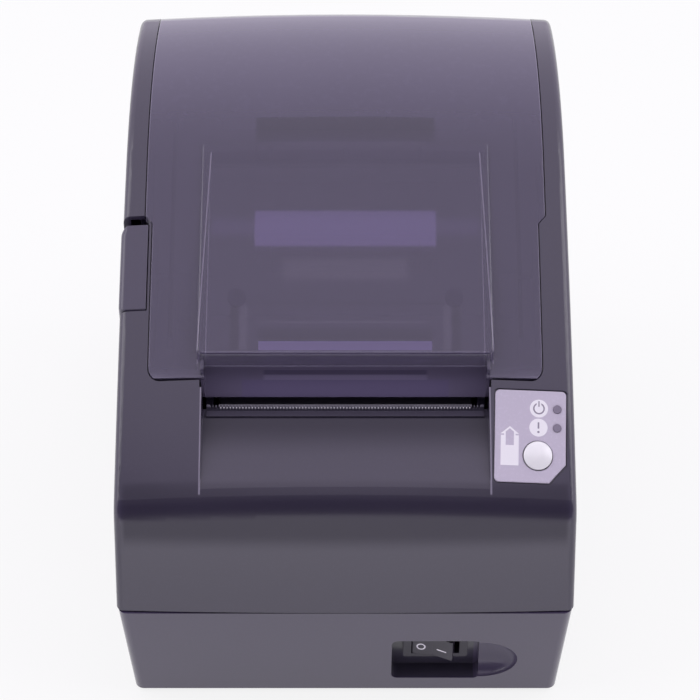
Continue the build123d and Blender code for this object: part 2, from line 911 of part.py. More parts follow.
with BuildPart(mode=Mode.PRIVATE) as ears:
    both_sides(
        [
            (hinge_y - 9.5, body_height),
            (hinge_y - 5.5, hinge_z - 1),
            (hinge_y + 5.5, hinge_z - 1),
            (hinge_y + 11, body_height),
        ],
        cover_half_rear - 3.9,
        cover_half_rear - 0.9,
    )
    for side in (-1, 1):
        inner = side * (cover_half_rear - 2.4) - 1.5
        rod(hinge_y, hinge_z, 5.6, inner, inner + 3)
    add(near_form, mode=Mode.INTERSECT)

with BuildPart() as cover:
    with BuildSketch(Plane.XY.offset(seam_height + 30)):
        add(cover_plan)
    extrude(amount=body_height)
    add(outer_form, mode=Mode.INTERSECT)
    add(skin_form, mode=Mode.SUBTRACT)
    # Undercut of the front edge, so that it clears the housing as it lifts
    side_prism(
        [
            (exit_y + cover_gap, slope_height(exit_y)),
            (exit_y + cover_gap + 30 * front_undercut, slope_height(exit_y) - 30),
            (exit_y - 20, slope_height(exit_y) - 30),
            (exit_y - 20, slope_height(exit_y)),
        ],
        -half_width,
        half_width,
        Mode.SUBTRACT,
    )
    add(hood.part)
    side_prism(
        [
            (lip_y + cover_wall, lip_low - 12),
            (lip_y + cover_wall, hood_line(lip_y + cover_wall, cover_wall)),
            (hood_y - 6, hood_line(hood_y - 6, cover_wall)),
            (hood_y - 6, hood_line(hood_y - 6, 16)),
        ],
        -exit_half_width,
        exit_half_width,
        Mode.SUBTRACT,
    )
    side_prism(
        [
            (exit_y - 10, lip_low - 20),
            (lip_y + cover_wall + 0.1, lip_low - 20),
            (lip_y + cover_wall + 0.1, lip_low),
            (lip_y, lip_low),
            (lip_y, lip_top - 0.6),
            (exit_y - 10, lip_top - 0.6),
        ],
        -exit_half_width,
        exit_half_width,
        Mode.SUBTRACT,
    )
    add(throat.part)
    add(cover_bosses_form.part)
    add(cover_ribs.part)
    for x, y in cover_bosses:
        with BuildSketch(Plane.XY.offset(seam_height)):
            with Locations((x, y)):
                Circle(screw_radius - 0.2)
        extrude(amount=slope_height(y) - 5 - seam_height, mode=Mode.SUBTRACT)
    # Skirt cut and hinge ears
    side_prism(
        [
            (hinge_y + 4, hinge_z - cover_skirt_drop),
            (rear + 5, hinge_z - cover_skirt_drop),
            (rear + 5, seam_height),
            (hinge_y + 4, seam_height),
        ],
        -half_width,
        half_width,
        Mode.SUBTRACT,
    )
    add(ears.part)
    rod(hinge_y, hinge_z, hinge_pin_radius + running_gap, -half_width, half_width, Mode.SUBTRACT)
cover.part.label = "cover"

# Guide under the cover: a ribbed panel with windows and two arms that carry the platen
with BuildPart(mode=Mode.PRIVATE) as guide_panel:
    side_prism(
        [
            (back(63), seam_height + 20),
            (back(133), seam_height + 20),
            (back(133), body_height),
            (back(63), body_height),
        ],
        -50,
        50,
    )
    add(inner_form(guide_depth), mode=Mode.INTERSECT)
    add(inner_form(guide_depth + guide_sheet), mode=Mode.SUBTRACT)
    for low, high in ((86.5, 98.0), (122.0, 128.5)):
        with BuildSketch(Plane.XY.offset(seam_height)):
            with Locations((0, back((low + high) / 2))):
                RectangleRounded(58.5, high - low, 2.0)
        extrude(amount=body_height, mode=Mode.SUBTRACT)
    for x, y in cover_bosses:
        with BuildSketch(Plane.XY.offset(seam_height)):
            with Locations((x, y)):
                Circle(screw_radius + 0.2)
        extrude(amount=body_height, mode=Mode.SUBTRACT)

with BuildPart(mode=Mode.PRIVATE) as guide_ribs:
    for x in (-49.3, -41.5, -25, 0, 25, 41.5, 49.3):
        side_prism(
            [
                (back(68), seam_height + 20),
                (back(132), seam_height + 20),
                (back(132), body_height),
                (back(68), body_height),
            ],
            x - 0.7,
            x + 0.7,
        )
    add(inner_form(guide_depth + guide_sheet - 0.2), mode=Mode.INTERSECT)
    add(inner_form(guide_depth + guide_sheet + 3.5), mode=Mode.SUBTRACT)

guide_seats = [(x, y, slope_height(y) - guide_depth - guide_sheet - 4.4) for x, y in cover_bosses]
with BuildPart(mode=Mode.PRIVATE) as guide_bosses:
    for x, y, seat in guide_seats:
        with Locations((x, y, seat)):
            Cylinder(3.6, 12, align=(Align.CENTER, Align.CENTER, Align.MIN))
    add(inner_form(guide_depth + 0.5), mode=Mode.INTERSECT)
    for x, y, seat in guide_seats:
        with Locations((x, y, seat)):
            Cylinder(screw_radius + 0.2, 40, mode=Mode.SUBTRACT)

arm_out = bushing_inner + arm_thickness
guide_front_z = slope_height(back(66)) - guide_depth - guide_sheet - 1
with BuildPart() as cover_guide:
    add(guide_panel.part)
    add(guide_ribs.part)
    add(guide_bosses.part)
    both_sides(
        [
            (platen_y - 5.5, platen_z),
            (platen_y - 2.5, platen_z + 5.6),
            (back(64.5), guide_front_z + 1.6),
            (back(82), slope_height(back(82)) - guide_depth - guide_sheet - 1.6),
            (platen_y + 9, platen_z - 1),
            (platen_y, platen_z - 5.6),
        ],
        bushing_inner,
        arm_out,
    )
    for side in (-1, 1):
        low = side * (bushing_inner + arm_thickness / 2) - arm_thickness / 2
        rod(platen_y, platen_z, 6.0, low, low + arm_thickness)
    rod(platen_y, platen_z, bushing_radius + running_gap, -60, 60, Mode.SUBTRACT)
cover_guide.part.label = "cover_guide"

with BuildPart() as cover_screws:
    for x, y, seat in guide_seats:
        with Locations((x, y, seat)):
            Cylinder(2.4, 1.6, align=(Align.CENTER, Align.CENTER, Align.MAX))
            Cylinder(screw_radius - 0.2, 11.5, align=(Align.CENTER, Align.CENTER, Align.MIN))
cover_screws.part.label = "cover_screws"

# Platen roller with its shaft, gear and bushings
with BuildPart() as platen_roller:
    rod(platen_y, platen_z, platen_radius, -platen_half_length, platen_half_length)
    rod(platen_y, platen_z, shaft_radius, -body_width, body_width, Mode.SUBTRACT)
    chamfer(platen_roller.edges().filter_by(GeomType.CIRCLE), 0.4)
platen_roller.part.label = "platen_roller"

with BuildPart() as platen_shaft:
    rod(platen_y, platen_z, shaft_radius, -shaft_left, shaft_right)
    chamfer(platen_shaft.edges().filter_by(GeomType.CIRCLE), 0.4)
platen_shaft.part.label = "platen_shaft"

with BuildPart() as platen_gear:
    gear(platen_teeth, platen_first, platen_y, platen_z, shaft_radius)
platen_gear.part.label = "platen_gear"

with BuildPart() as platen_bushings:
    for side in (-1, 1):
        low = side * (bushing_inner + bushing_outer) / 2 - (bushing_outer - bushing_inner) / 2
        rod(platen_y, platen_z, bushing_radius, low, low + bushing_outer - bushing_inner)
    rod(platen_y, platen_z, shaft_radius + running_gap, -body_width, body_width, Mode.SUBTRACT)
platen_bushings.part.label = "platen_bushings"

# Mechanism frame: folded sheet with notches for the bushings and tabs for the head
frame_front = back(frame_front_back)
frame_rear = back(frame_rear_back)
frame_outer = frame_half_width + frame_sheet
notch_width = bushing_radius + part_gap
notch_reach = 12.0
with BuildPart() as mechanism_frame:
    both_sides(
        [
            (frame_front, frame_floor),
            (frame_rear, frame_floor),
            (frame_rear, motor_z + motor_radius + 3),
            (platen_y + 13, platen_z + 3.2),
            (platen_y + 5.6, platen_z + 5.2),
            (platen_y - 5.2, platen_z + 3.2),
            (frame_front + 6, platen_z - 10),
            (frame_front, platen_z - 12),
        ],
        frame_half_width,
        frame_outer,
    )
    side_prism(
        [
            (frame_front, frame_floor),
            (frame_rear, frame_floor),
            (frame_rear, frame_floor + frame_sheet),
            (frame_front, frame_floor + frame_sheet),
        ],
        -frame_outer,
        frame_outer,
    )
    side_prism(
        [
            (frame_front, frame_floor),
            (frame_front + frame_sheet, frame_floor),
            (frame_front + frame_sheet, platen_z - 12),
            (frame_front, platen_z - 12),
        ],
        -frame_outer,
        frame_outer,
    )
    # Notches that open along the way the platen leaves
    rod(platen_y, platen_z, notch_width, -60, 60, Mode.SUBTRACT)
    side_prism(
        [
            (platen_y + notch_width * rise_z, platen_z - notch_width * rise_y),
            (
                platen_y + (notch_width + 0.8) * rise_z + notch_reach * rise_y,
                platen_z - (notch_width + 0.8) * rise_y + notch_reach * rise_z,
            ),
            (
                platen_y - (notch_width + 1.2) * rise_z + notch_reach * rise_y,
                platen_z + (notch_width + 1.2) * rise_y + notch_reach * rise_z,
            ),
            (platen_y - notch_width * rise_z, platen_z + notch_width * rise_y),
        ],
        -60,
        60,
        Mode.SUBTRACT,
    )
    rod(head_pivot_y, head_pivot_z, head_pivot_radius + running_gap, -60, 60, Mode.SUBTRACT)
    rod(motor_y, motor_z, 3.6, frame_half_width - 1, 60, Mode.SUBTRACT)
    rod(lever_y, lever_z, lever_pin_radius + running_gap, -60, -frame_half_width + 1, Mode.SUBTRACT)
    rod(idler_y, idler_z, 1.5, frame_outer - 0.1, gear_plane + gear_width + 0.6)
    for x, y in frame_pillars:
        with BuildSketch(Plane.XY.offset(frame_floor - 1)):
            with Locations((x, y)):
                Circle(screw_radius + 0.2)
        extrude(amount=5, mode=Mode.SUBTRACT)
mechanism_frame.part.label = "mechanism_frame"

with BuildPart() as frame_screws:
    for x, y in frame_pillars:
        with Locations((x, y, frame_floor + frame_sheet)):
            Cylinder(2.6, 1.6, align=(Align.CENTER, Align.CENTER, Align.MIN))
            Cylinder(screw_radius - running_gap, 9.0, align=(Align.CENTER, Align.CENTER, Align.MAX))
frame_screws.part.label = "frame_screws"

# Drive: motor, pinion on the motor shaft and idler
with BuildPart() as drive_motor:
    rod(motor_y, motor_z, motor_radius, frame_half_width - motor_length, frame_half_width)
    rod(motor_y, motor_z, 3.5, frame_half_width - 0.1, frame_outer)
    with Locations((frame_half_width - motor_length / 2, motor_y + motor_radius - 0.5, motor_z - 4)):
        Box(12, 6, 9)
    rod(motor_y, motor_z, 1.0 + running_gap, frame_half_width - 4, 60, Mode.SUBTRACT)
    motor_rims = drive_motor.edges().filter_by(GeomType.CIRCLE).group_by(Axis.X)[0]
    chamfer(motor_rims, 0.8)
drive_motor.part.label = "drive_motor"

with BuildPart() as motor_pinion:
    gear(pinion_teeth, pinion_first, motor_y, motor_z, 0.9)
    rod(motor_y, motor_z, 1.0, frame_half_width - 3.8, gear_plane + gear_width + 0.4)
motor_pinion.part.label = "motor_pinion"

with BuildPart() as idler_gear:
    gear(idler_teeth, idler_first, idler_y, idler_z, 1.5 + running_gap)
    for place in PolarLocations(7.0, 5):
        spot = place.position
        rod(idler_y + spot.X, idler_z + spot.Y, 2.0, gear_plane - 1, gear_plane + 5, Mode.SUBTRACT)
idler_gear.part.label = "idler_gear"

# Print head: a ceramic strip on a finned heat sink that rocks on a pivot rod
with BuildPart() as print_head:
    side_prism(
        [
            head_point(head_up, 0),
            head_point(-head_up - 1, 0),
            head_point(-head_up - 1, substrate_thickness),
            head_point(head_up, substrate_thickness),
        ],
        -platen_half_length,
        platen_half_length,
    )
print_head.part.label = "print_head"

sink_back = substrate_thickness + sink_thickness
with BuildPart() as heat_sink:
    side_prism(
        [
            head_point(head_up, substrate_thickness),
            head_point(-head_down, substrate_thickness),
            head_point(-head_down, sink_back),
            head_point(head_up, sink_back),
        ],
        -platen_half_length,
        platen_half_length,
    )
    fin_count = 14
    fin_pitch = 2 * platen_half_length / fin_count
    for fin in range(fin_count - 1):
        middle = -platen_half_length + fin_pitch * (fin + 1)
        side_prism(
            [
                head_point(head_up + 1, substrate_thickness + 2.4),
                head_point(-head_down + 6.5, substrate_thickness + 2.4),
                head_point(-head_down + 6.5, sink_back + 1),
                head_point(head_up + 1, sink_back + 1),
            ],
            middle - 1.5,
            middle + 1.5,
            Mode.SUBTRACT,
        )
    for inner in (frame_half_width - 2.6, -frame_half_width + 0.4):
        rod(head_pivot_y, head_pivot_z, 3.0, inner, inner + 2.2)
    both_sides(
        [
            head_point(-head_down + 4.5, substrate_thickness + 1),
            head_point(-head_down + 1.0, substrate_thickness + 1),
            head_point(-head_down + 1.0, sink_back - 0.5),
            head_point(-head_down + 4.5, sink_back - 0.5),
        ],
        platen_half_length - 1,
        frame_half_width - 0.4,
    )
    rod(head_pivot_y, head_pivot_z, head_pivot_radius + running_gap, -60, 60, Mode.SUBTRACT)
heat_sink.part.label = "heat_sink"

with BuildPart() as head_pivot:
    rod(head_pivot_y, head_pivot_z, head_pivot_radius, -frame_outer - 0.8, frame_outer + 0.8)
    chamfer(head_pivot.edges().filter_by(GeomType.CIRCLE), 0.3)
head_pivot.part.label = "head_pivot"

# Leaf springs that press the heat sink towards the platen
spring_sheet = 0.4
spring_root = (frame_front + frame_sheet + spring_sheet / 2, platen_z - 20.0)
spring_touch = head_point(-4.0, sink_back + 0.85)
with BuildPart() as head_springs:
    for x in (-22, 22):
        sheet_strip(
            [
                (spring_root[0], spring_root[1] - 8),
                spring_root,
                spring_touch,
                (spring_touch[0] - 2.2, spring_touch[1] + 2.2),
            ],
            spring_sheet,
            x - 5,
            x + 5,
        )
head_springs.part.label = "head_springs"

# Tear bar: a folded strip with a row of teeth along its raised edge
tear_low = (ramp_top[0] + 0.4, ramp_top[1] + 0.06)
tear_fold = (ramp_top[0] + 2.6, tear_low[1] + 0.29)
tear_reach = 2.3
tear_lean = radians(tear_angle)
tear_tip = (tear_fold[0] + tear_reach * cos(tear_lean), tear_fold[1] + tear_reach * sin(tear_lean))
tear_count = int(2 * (exit_half_width - 1.2) / tear_pitch)
with BuildPart() as tear_bar:
    lift = (-tear_thickness * sin(tear_lean), tear_thickness * cos(tear_lean))
    side_prism(
        [
            tear_low,
            tear_fold,
            tear_tip,
            (tear_tip[0] + lift[0], tear_tip[1] + lift[1]),
            (tear_fold[0] + lift[0] * 0.4, tear_fold[1] + tear_thickness),
            (tear_low[0], tear_low[1] + tear_thickness),
        ],
        -exit_half_width + 0.6,
        exit_half_width - 0.6,
    )
    strip_plane = Plane(
        origin=(0, tear_tip[0], tear_tip[1]),
        x_dir=(1, 0, 0),
        z_dir=(0, -sin(tear_lean), cos(tear_lean)),
    )
    with BuildSketch(mode=Mode.PRIVATE) as tooth_gap:
        with BuildLine():
            Polyline(
                (-tear_pitch / 2, 0.05),
                (0, -tear_tooth),
                (tear_pitch / 2, 0.05),
                close=True,
            )
        make_face()
    with BuildSketch(strip_plane.offset(-1)):
        with GridLocations(tear_pitch, 1, tear_count, 1):
            add(tooth_gap.sketch)
    extrude(amount=3, mode=Mode.SUBTRACT)
tear_bar.part.label = "tear_bar"

# Paper trough: deck under the cover, half-round bay for the roll and a guide to the head
deck_depth = 17.5
deck_sheet = 2.0
deck_front = back(92.0)
bay_low = (back(64.5) + 2.0, platen_z - 4.6)
guide_low = (bay_low[0] + 0.6, bay_low[1] - 2.2)
guide_high = (deck_front + 1.2, slope_height(deck_front) - deck_depth - 4.0)
deck_plan = cover_outline(-0.8)
with BuildPart(mode=Mode.PRIVATE) as bay:
    reach = trough_half_width + trough_wall
    rod(roll_y, roll_z, trough_radius + trough_wall, -reach, reach)
    side_prism(
        [
            (deck_front, seam_height - 10),
            (rear - 14, seam_height - 10),
            (rear - 14, body_height + 5),
            (deck_front, body_height + 5),
        ],
        -half_width,
        half_width,
        Mode.INTERSECT,
    )
    add(inner_form(deck_depth + 0.2), mode=Mode.INTERSECT)

with BuildPart() as paper_trough:
    with BuildSketch(Plane.XY.offset(seam_height)):
        add(deck_plan)
    extrude(amount=body_height)
    side_prism(
        [
            (deck_front, seam_height),
            (rear + 5, seam_height),
            (rear + 5, body_height + 5),
            (deck_front, body_height + 5),
        ],
        -half_width,
        half_width,
        Mode.INTERSECT,
    )
    add(inner_form(deck_depth), mode=Mode.INTERSECT)
    add(inner_form(deck_depth + deck_sheet), mode=Mode.SUBTRACT)
    rod(hinge_y, hinge_z, hinge_sweep + 1.2, -half_width, half_width, Mode.SUBTRACT)
    add(bay.part)
    for x, y in trough_pillars:
        with BuildSketch(Plane.XY.offset(trough_leg_low)):
            with Locations((x, y)):
                Circle(pillar_radius)
        extrude(amount=roll_z - trough_radius * 0.9 - trough_leg_low)
    rod(roll_y, roll_z, trough_radius, -trough_half_width, trough_half_width, Mode.SUBTRACT)
    # Paper guide from the bay down to the print head
    side_prism(
        [
            bay_low,
            (guide_high[0], guide_high[1] + 3.4),
            guide_high,
            guide_low,
        ],
        -platen_half_length,
        platen_half_length,
    )
    for x in (-30, -15, 0, 15, 30):
        side_prism(
            [
                (bay_low[0] + 3, bay_low[1]),
                (bay_low[0] + 4, bay_low[1] + 3.6),
                (deck_front - 4, slope_height(deck_front) - deck_depth - 3.0),
                (deck_front - 3, slope_height(deck_front) - deck_depth - 5.0),
            ],
            x - 0.6,
            x + 0.6,
        )
paper_trough.part.label = "paper_trough"

# Open lever: a thumb tab in the left rail on an arm, with a finger under the platen shaft
tab_low_y = back(lever_front_back)
tab_high_y = back(lever_rear_back)
lever_outer = half_width - (slope_height(tab_low_y) - seam_height) * tan(radians(side_draft)) + lever_proud
with BuildPart(mode=Mode.PRIVATE) as lever_tab:
    side_prism(
        slope_band(lever_front_back, lever_rear_back, 5, lever_depth + 1.75),
        -lever_outer,
        -lever_inner,
    )
    add(body_form(-0.3, seam_height, 0, 5), mode=Mode.INTERSECT)
    tab_edges = lever_tab.edges().filter_by(
        lambda edge: edge.center().X < -lever_outer + 0.1 and edge.length > 5
    )
    fillet(tab_edges, 2.0)
    side_prism(
        slope_band(lever_front_back + 2, lever_rear_back - 2, -4.4, lever_depth + 3),
        -lever_outer + 2.2,
        -lever_inner - 2.0,
        Mode.SUBTRACT,
    )

with BuildPart() as open_lever:
    add(lever_tab.part)
    lever_arm = [
        (tab_low_y + 2.5, slope_height(tab_low_y + 2.5) - lever_depth - 2.0),
        (tab_low_y + 18, slope_height(tab_low_y + 18) - lever_depth),
        (lever_y + lever_hub_radius - 0.4, lever_z),
        (lever_y - lever_hub_radius + 0.4, lever_z),
    ]
    side_prism(lever_arm, -lever_inner - 3.0, -lever_inner)
    rod(lever_y, lever_z, lever_hub_radius, -lever_inner - 3.0, -frame_outer - part_gap)
    side_prism(
        [
            (lever_y - 2, lever_z - 3),
            (lever_y + 1, lever_z + 4),
            (platen_y + 3, platen_z - shaft_radius - 1.3),
            (platen_y - 3.5, platen_z - shaft_radius - 1.3),
            (platen_y - 3.5, platen_z - shaft_radius - 3.0),
        ],
        -shaft_left + 0.2,
        -bushing_outer - 0.4,
    )
    rod(lever_y, lever_z, lever_pin_radius + running_gap, -body_width, 0, Mode.SUBTRACT)
open_lever.part.label = "open_lever"

with BuildPart() as lever_pin:
    rod(lever_y, lever_z, lever_pin_radius, -lever_inner - 4.0, -frame_half_width)
    rod(lever_y, lever_z, lever_pin_radius + 1.2, -lever_inner - 4.2, -lever_inner - 3.0 - part_gap)
lever_pin.part.label = "lever_pin"

# Leaf spring that returns the lever, fixed to the frame's left plate
leaf_root = (frame_front + 12.0, frame_floor + 7.0)
leaf_touch = (lever_y - 6.5, lever_z - 6.5)
with BuildPart() as lever_spring:
    side_prism(
        [
            (leaf_root[0] - 4, leaf_root[1] - 4),
            (leaf_root[0] + 4, leaf_root[1] - 4),
            (leaf_root[0] + 4, leaf_root[1] + 1),
            (leaf_root[0] - 4, leaf_root[1] + 1),
        ],
        -frame_outer - 6.0,
        -frame_outer,
    )
    sheet_strip(
        [
            (leaf_root[0] - 2, leaf_root[1]),
            (leaf_root[0] - 1, leaf_root[1] + 9),
            leaf_touch,
        ],
        spring_sheet,
        -frame_outer - 5.5,
        -frame_outer - 0.8,
    )
lever_spring.part.label = "lever_spring"

# Hinge pins of the cover
with BuildPart() as hinge_pins:
    for low, high in ((cover_half_rear - 4.4, half_width - 3.2), (-half_width + 3.2, -cover_half_rear + 4.4)):
        rod(hinge_y, hinge_z, hinge_pin_radius, low, high)
    chamfer(hinge_pins.edges().filter_by(GeomType.CIRCLE), 0.3)
hinge_pins.part.label = "hinge_pins"

# Control plate, its button, lamps and board
with BuildPart() as control_plate:
    with BuildSketch(panel_plane.offset(-panel_thickness)):
        add(panel_shape(0))
        with Locations(button_spot):
            Circle(button_radius + part_gap, mode=Mode.SUBTRACT)
        with Locations(*lamp_spots):
            Circle(lamp_radius + 0.05, mode=Mode.SUBTRACT)
    extrude(amount=panel_thickness)
    rims = control_plate.faces().sort_by_distance(panel_plane.from_local_coords((0, 0, 5)))[0].outer_wire().edges()
    chamfer(rims, 0.2)
control_plate.part.label = "control_plate"

button_rise = 1.6
button_foot = -board_drop + 2.8
dome_radius = (button_radius**2 + (button_rise - 0.5) ** 2) / (2 * (button_rise - 0.5))
with BuildPart() as feed_button:
    with BuildSketch(panel_plane.offset(button_foot)):
        with Locations(button_spot):
            Circle(button_radius)
    extrude(amount=button_rise - button_foot)
    with Locations(panel_plane.location * Pos(button_x, button_y, button_rise - dome_radius)):
        Sphere(dome_radius, mode=Mode.INTERSECT)
    for radius, depth in ((button_radius + 0.9, 0.7), (button_radius, -button_foot)):
        with BuildSketch(panel_plane.offset(button_foot)):
            with Locations(button_spot):
                Circle(radius)
        extrude(amount=depth)
feed_button.part.label = "feed_button"

with BuildPart() as lamp_lenses:
    with BuildSketch(panel_plane.offset(0.25)):
        with Locations(*lamp_spots):
            Circle(lamp_radius)
    extrude(amount=-board_drop + 0.25)
lamp_lenses.part.label = "lamp_lenses"

with BuildPart() as button_board:
    with BuildSketch(panel_plane.offset(-board_drop)):
        with Locations((0, -1.1)):
            Rectangle(panel_width - 5, panel_length - 6.8)
    extrude(amount=-1.2)
    with Locations(panel_plane.location * Pos(button_x, button_y, -board_drop + 0.8)):
        Box(6, 6, 1.6)
button_board.part.label = "button_board"

# Main board with its chips, and the sealed memory module
board_low = board_height
board_top = board_height + board_thickness
board_front = back(34.0)
board_rear = back(188.3)
with BuildPart() as main_board:
    with BuildSketch(Plane.XY.offset(board_low)):
        with Locations((0, (board_front + board_rear) / 2)):
            RectangleRounded(114, board_rear - board_front, 2)
        with Locations(*frame_pillars, *trough_pillars):
            Circle(pillar_radius + part_gap, mode=Mode.SUBTRACT)
    extrude(amount=board_thickness)
    with Locations((30, back(104), board_top + 0.9)):
        Box(20, 20, 1.8)
    with Locations((2, back(82), board_top + 0.75)):
        Box(12, 18, 1.5)
    for x, y in ((49, back(60)), (49, back(72)), (44, back(150)), (44, back(162))):
        with Locations((x, y, board_top)):
            Cylinder(4, 10, align=(Align.CENTER, Align.CENTER, Align.MIN))
    with Locations((-8, back(44), board_top + 3)):
        Box(30, 5, 6)
main_board.part.label = "main_board"

with BuildPart() as board_supports:
    for x in (-52, 52):
        for y in (board_front + 6, board_rear - 8):
            with Locations((x, y, base_floor)):
                Cylinder(3, board_low - base_floor, align=(Align.CENTER, Align.CENTER, Align.MIN))
board_supports.part.label = "board_supports"

with BuildPart() as memory_module:
    with Locations((-4, back(145), board_top)):
        Box(36, 26, 11, align=(Align.CENTER, Align.CENTER, Align.MIN))
    fillet(memory_module.edges().filter_by(Axis.Z), 2.0)
    chamfer(memory_module.faces().sort_by(Axis.Z)[-1].edges(), 0.8)
memory_module.part.label = "memory_module"

# Sockets at the back, seated on the board and standing in the opening
port_face = rear - 3.4
port_seat = board_top


def port_box(x, width, height):
    """Body of a socket standing on the board behind its face."""
    with Locations((x, port_face, port_seat)):
        return Box(width, port_depth + 4, height, align=(Align.CENTER, Align.MAX, Align.MIN))


jack_x = -40.0
usb_x = -20.0
serial_x = 10.0
drawer_x = 41.0
with BuildPart() as power_jack:
    port_box(jack_x, 14, 14)
    with Locations(Plane.XZ.offset(-port_face).location * Pos(jack_x, port_seat + 7, 0)):
        Cylinder(5.5, 20, mode=Mode.SUBTRACT)
    with Locations((jack_x, port_face - port_depth - 2, port_seat + 7)):
        Box(14, 4, 14)
    for spot in PolarLocations(2.6, 3, 90):
        place = spot.position
        with BuildSketch(Plane.XZ.offset(-port_face + 6.0)):
            with Locations((jack_x + place.X, port_seat + 7 + place.Y)):
                Circle(0.7)
        extrude(amount=port_depth - 6.0)
power_jack.part.label = "power_jack"

with BuildPart() as usb_port:
    port_box(usb_x, 12, 11)
    with Locations((usb_x, port_face, port_seat + 5.5)):
        Box(8.6, 2 * port_depth - 4, 7.8, mode=Mode.SUBTRACT)
    with Locations((usb_x, port_face - 1.5, port_seat + 5.5)):
        Box(5.4, port_depth - 2, 3.0, align=(Align.CENTER, Align.MAX, Align.CENTER))
usb_port.part.label = "usb_port"

with BuildPart() as serial_port:
    port_box(serial_x, 31, 12.5)
    with BuildSketch(Plane.XZ.offset(-port_face + 0.01)):
        with Locations((serial_x, port_seat + 6.25)):
            Trapezoid(18.0, 8.6, 80, rotation=180)
            Trapezoid(16.8, 7.4, 80, rotation=180, mode=Mode.SUBTRACT)
    extrude(amount=-2.2)
    with BuildSketch(Plane.XZ.offset(-port_face)):
        with Locations((serial_x, port_seat + 7.4)):
            with GridLocations(2.76, 1, 5, 1):
                Circle(0.5)
        with Locations((serial_x, port_seat + 4.8)):
            with GridLocations(2.76, 1, 4, 1):
                Circle(0.5)
    extrude(amount=-1.6)
    for x in (serial_x - 12.5, serial_x + 12.5):
        with BuildSketch(Plane.XZ.offset(-port_face)):
            with Locations((x, port_seat + 6.25)):
                RegularPolygon(2.6, 6)
                Circle(1.3, mode=Mode.SUBTRACT)
        extrude(amount=-2.0)
serial_port.part.label = "serial_port"

with BuildPart() as drawer_port:
    port_box(drawer_x, 14, 13)
    with Locations((drawer_x, port_face, port_seat + 6.5)):
        Box(9.8, 2 * port_depth - 2, 6.8, mode=Mode.SUBTRACT)
    with Locations((drawer_x, port_face, port_seat + 2.6)):
        Box(4.0, 2 * port_depth - 2, 2.2, mode=Mode.SUBTRACT)
drawer_port.part.label = "drawer_port"

with BuildPart() as port_plate:
    with BuildSketch(Plane.XZ.offset(-port_face + 1.8)):
        with Locations((0, port_middle)):
            Rectangle(port_opening[0] + 4, port_opening[1] + 3)
        for x, width, height in (
            (jack_x, 14, 14),
            (usb_x, 12, 11),
            (serial_x, 31, 12.5),
            (drawer_x, 14, 13),
        ):
            with Locations((x, port_seat + height / 2)):
                Rectangle(width + 2 * part_gap, height + 2 * part_gap, mode=Mode.SUBTRACT)
    extrude(amount=1.0)
port_plate.part.label = "port_plate"

# Power switch: a framed body behind the window and its rocker
bezel_y = front + window_depth
rocker_pivot_y = bezel_y + 0.8
rocker_half = rocker_width / 2
rocker_pin_radius = 1.2
with BuildPart() as power_switch:
    with Locations((switch_x, bezel_y, switch_middle)):
        Box(bezel_width, 1.8, bezel_height, align=(Align.CENTER, Align.MAX, Align.CENTER))
    fillet(power_switch.edges().filter_by(Axis.Y), 1.0)
    with Locations((switch_x, bezel_y, switch_middle)):
        Box(
            switch_body_width,
            switch_body_depth,
            switch_body_height,
            align=(Align.CENTER, Align.MIN, Align.CENTER),
        )
        Box(rocker_width + 2.0, 16, rocker_height + 2 * part_gap, mode=Mode.SUBTRACT)
    with Locations((switch_x, rocker_pivot_y, switch_middle)):
        Cylinder(rocker_pin_radius + running_gap, rocker_height + 2.4, mode=Mode.SUBTRACT)
    for x in (switch_x - 6, switch_x + 1):
        with Locations((x, bezel_y + switch_body_depth, switch_middle)):
            Box(0.8, 7, 4.8, align=(Align.CENTER, Align.MIN, Align.CENTER))
power_switch.part.label = "power_switch"

with BuildPart() as power_rocker:
    with BuildSketch(Plane.XY.offset(switch_middle - rocker_height / 2)):
        with BuildLine():
            Polyline(
                (switch_x - rocker_half + 0.5, rocker_pivot_y + 2.0),
                (switch_x - rocker_half, rocker_pivot_y - 4.6),
                (switch_x, rocker_pivot_y - 3.6),
                (switch_x + rocker_half, rocker_pivot_y - 4.6),
                (switch_x + rocker_half - 0.5, rocker_pivot_y + 2.0),
                close=True,
            )
        make_face()
    extrude(amount=rocker_height)
    fillet(power_rocker.edges().filter_by(Axis.Z).sort_by(Axis.Y)[:2], 0.5)
    with Locations((switch_x, rocker_pivot_y, switch_middle)):
        Cylinder(rocker_pin_radius, rocker_height + 2.0)
rocker_axis = Axis((switch_x, rocker_pivot_y, 0), (0, 0, 1))
power_rocker.part = power_rocker.part.rotate(rocker_axis, -rocker_tilt)
power_rocker.part.label = "power_rocker"

# Sensor under the left arm of the guide
with BuildPart() as cover_sensor:
    with Locations((-frame_half_width, back(66), platen_z - 7)):
        Box(4.5, 10, 8, align=(Align.MIN, Align.CENTER, Align.MAX))
    with Locations((-frame_half_width + 2.6, back(64), platen_z - 7)):
        Box(1.6, 2.5, 3.4, align=(Align.CENTER, Align.CENTER, Align.MIN))
cover_sensor.part.label = "cover_sensor"

# Sensor under the paper path, on the underside of the trough's guide
sensor_lean = atan2(guide_high[1] - guide_low[1], guide_high[0] - guide_low[0])


def sensor_point(along, depth):
    """Place along the underside of the guide and below it."""
    return (
        guide_low[0] + along * cos(sensor_lean) + depth * sin(sensor_lean),
        guide_low[1] + along * sin(sensor_lean) - depth * cos(sensor_lean),
    )


with BuildPart() as paper_sensor:
    side_prism(
        [sensor_point(3, 0), sensor_point(10, 0), sensor_point(10, 3.2), sensor_point(3, 3.2)],
        -10.5,
        -4.5,
    )
paper_sensor.part.label = "paper_sensor"

